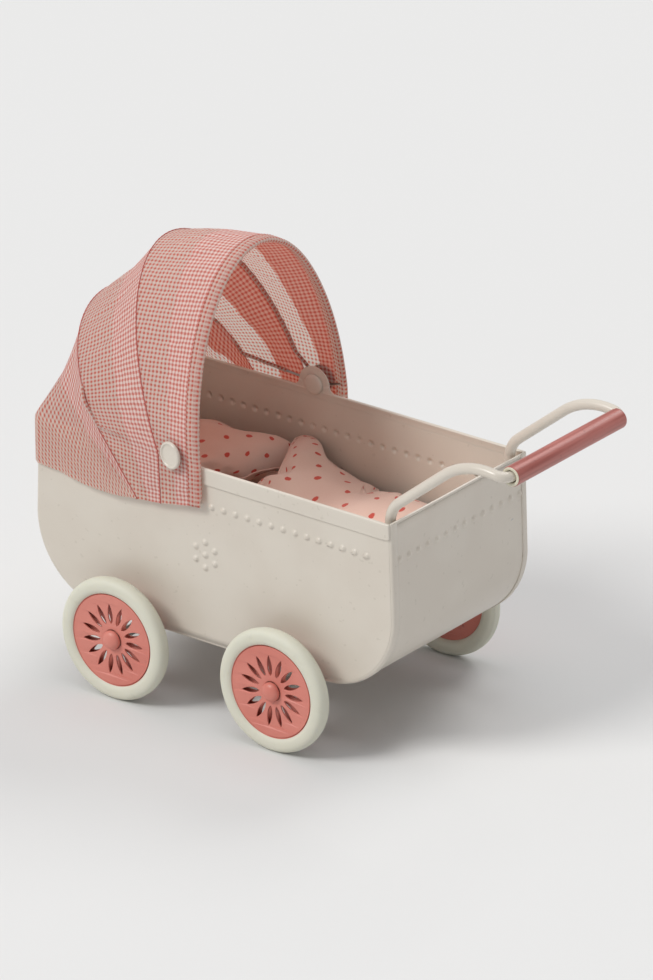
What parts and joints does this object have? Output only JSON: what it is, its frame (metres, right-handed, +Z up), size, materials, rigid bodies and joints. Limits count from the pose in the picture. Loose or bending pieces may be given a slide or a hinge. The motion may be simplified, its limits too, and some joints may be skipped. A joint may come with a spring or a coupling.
{
  "type": "doll stroller",
  "caption": "Toy doll pram: a pressed sheet-metal tub with a folding checked hood, petal-disc wheels, a bent-rod push handle and loose bedding.",
  "frame": {"origin": "on the floor under the middle of the tub, midway between the two axles", "axes": "+X towards the handle (foot) end, +Y towards the far side, +Z up"},
  "size_m": [0.1847, 0.0966, 0.1469],
  "materials": {
    "enamel": "satin",
    "wheel_paint": "satin",
    "bare_steel": "satin",
    "tyre_rubber": "matte",
    "grip_rubber": "satin",
    "check_cloth": "matte",
    "mattress_cotton": "matte",
    "dotted_cotton": "matte"
  },
  "bodies": {
    "tub": {"tub_side_near": "enamel", "tub_side_far": "enamel", "tub_wrap": "enamel", "axle_bracket_head": "enamel", "axle_bracket_foot": "enamel", "bracket_rivets": "bare_steel", "axle_head": "bare_steel", "axle_foot": "bare_steel", "axle_caps": "wheel_paint", "axle_spacers": "bare_steel", "hood_pivot_rivets": "enamel", "hood_snap_caps": "enamel", "hood_cloth_rear": "check_cloth", "handle_rod": "enamel", "handle_clips": "enamel", "handle_rivets": "bare_steel", "mattress": "mattress_cotton", "pillow": "dotted_cotton", "duvet": "dotted_cotton"},
    "hood_rear": {"hood_rear_bow": "bare_steel", "hood_cloth_middle": "check_cloth"},
    "hood_middle": {"hood_middle_bow": "bare_steel", "hood_cloth_front": "check_cloth"},
    "hood_front": {"hood_front_bow": "bare_steel", "hood_front_hem": "check_cloth"},
    "grip": {"handle_grip": "grip_rubber"},
    "wheel_head_near": {"wheel_head_near_outer_disc": "wheel_paint", "wheel_head_near_inner_disc": "wheel_paint", "wheel_head_near_hub_bush": "bare_steel", "wheel_head_near_tyre": "tyre_rubber"},
    "wheel_head_far": {"wheel_head_far_outer_disc": "wheel_paint", "wheel_head_far_inner_disc": "wheel_paint", "wheel_head_far_hub_bush": "bare_steel", "wheel_head_far_tyre": "tyre_rubber"},
    "wheel_foot_near": {"wheel_foot_near_outer_disc": "wheel_paint", "wheel_foot_near_inner_disc": "wheel_paint", "wheel_foot_near_hub_bush": "bare_steel", "wheel_foot_near_tyre": "tyre_rubber"},
    "wheel_foot_far": {"wheel_foot_far_outer_disc": "wheel_paint", "wheel_foot_far_inner_disc": "wheel_paint", "wheel_foot_far_hub_bush": "bare_steel", "wheel_foot_far_tyre": "tyre_rubber"}
  },
  "joints": [
    {"name": "hood_fold", "type": "hinge", "parent": "tub", "child": "hood_rear", "pos_m": [-0.0134, 0, 0.0848], "axis": [0, -1, 0], "range_deg": [0, 14], "deforming": ["hood_cloth_rear"]},
    {"name": "hood_middle_fold", "type": "hinge", "parent": "hood_rear", "child": "hood_middle", "pos_m": [-0.0134, 0, 0.0848], "axis": [0, -1, 0], "range_deg": [0, 27], "deforming": ["hood_cloth_middle"]},
    {"name": "hood_front_fold", "type": "hinge", "parent": "hood_middle", "child": "hood_front", "pos_m": [-0.0134, 0, 0.0848], "axis": [0, -1, 0], "range_deg": [0, 20], "deforming": ["hood_cloth_front"]},
    {"name": "wheel_head_near_spin", "type": "hinge", "parent": "tub", "child": "wheel_head_near", "pos_m": [-0.0316, -0.0446, 0.0204], "axis": [0, 1, 0], "continuous": true},
    {"name": "wheel_head_far_spin", "type": "hinge", "parent": "tub", "child": "wheel_head_far", "pos_m": [-0.0316, 0.0446, 0.0204], "axis": [0, 1, 0], "continuous": true},
    {"name": "wheel_foot_near_spin", "type": "hinge", "parent": "tub", "child": "wheel_foot_near", "pos_m": [0.0316, -0.0446, 0.0204], "axis": [0, 1, 0], "continuous": true},
    {"name": "wheel_foot_far_spin", "type": "hinge", "parent": "tub", "child": "wheel_foot_far", "pos_m": [0.0316, 0.0446, 0.0204], "axis": [0, 1, 0], "continuous": true},
    {"name": "grip_turn", "type": "hinge", "parent": "tub", "child": "grip", "pos_m": [0.1094, 0, 0.1072], "axis": [0, 1, 0], "continuous": true}
  ],
  "couplings": [
    {"joint": "hood_middle_fold", "follows": "hood_fold", "ratio": 1.9285},
    {"joint": "hood_front_fold", "follows": "hood_fold", "ratio": 1.4285}
  ]
}
